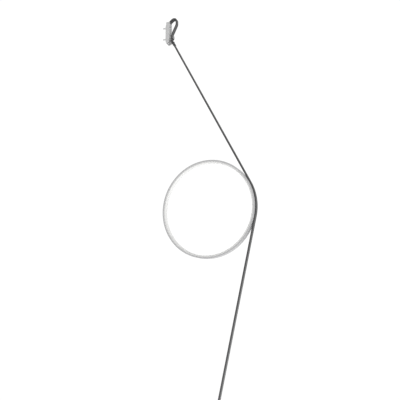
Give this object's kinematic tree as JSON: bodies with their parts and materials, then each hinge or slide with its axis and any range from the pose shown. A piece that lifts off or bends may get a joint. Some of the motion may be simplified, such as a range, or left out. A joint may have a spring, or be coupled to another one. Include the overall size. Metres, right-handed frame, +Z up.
{
  "type": "wall ring light",
  "caption": "Thin ring light that leans on a wall, slung in a flat belt cable from a small wall bracket, with an in-line push-button dimmer.",
  "frame": {"origin": "middle of the wall plate's back face, on the wall", "axes": "+X out of the wall into the room, +Z up; the ring lies in the plane Y = 0"},
  "size_m": [0.2115, 0.024, 0.9096],
  "materials": {
    "plate_paint": "satin",
    "dark_steel": "satin",
    "bright_steel": "satin",
    "belt_jacket": "matte",
    "copper": "satin",
    "ring_paint": "satin",
    "opal": "satin",
    "circuit_white": "satin",
    "led_lens": "gloss",
    "gold_pin": "polished",
    "bumper_clear": "matte",
    "relief_rubber": "matte",
    "case_plastic": "fine texture",
    "circuit_green": "satin",
    "chip_black": "satin",
    "button_metal": "satin"
  },
  "bodies": {
    "bracket": {"wall_plate": "plate_paint", "wall_screws": "bright_steel", "tongue": "dark_steel", "hinge_fork": "dark_steel", "fork_screws": "bright_steel", "strap": "belt_jacket", "strap_rivets": "dark_steel", "strap_clamp": "dark_steel", "clamp_rivets": "dark_steel", "pivot_pin": "dark_steel"},
    "lamp": {"belt_clip": "dark_steel", "clip_rivets": "dark_steel", "belt": "belt_jacket", "copper_tapes": "copper", "ring_channel": "ring_paint", "diffuser": "opal", "led_strip": "circuit_white", "led_packages": "led_lens", "feed_boss": "belt_jacket", "feed_pins": "gold_pin", "feed_board": "circuit_white", "wall_bumper": "bumper_clear", "belt_tail": "belt_jacket", "tail_relief": "relief_rubber", "dimmer_front": "case_plastic", "dimmer_back": "case_plastic", "dimmer_board": "circuit_green", "press_switch": "chip_black", "driver_chip": "chip_black", "supply_socket": "chip_black", "socket_pin": "bright_steel", "case_screws": "bright_steel"},
    "button": {"dimmer_button": "button_metal"}
  },
  "joints": [
    {"name": "lamp_swing", "type": "hinge", "parent": "bracket", "child": "lamp", "pos_m": [0.016, 0, -0.0235], "axis": [0, -1, 0], "range_deg": [0, 30]},
    {"name": "button_press", "type": "slide", "parent": "lamp", "child": "button", "axis": [-0.9744, 0, 0.225], "range_m": [0, 0.0012], "stiffness_N_per_m": 500, "springref_m": -0.0008}
  ]
}
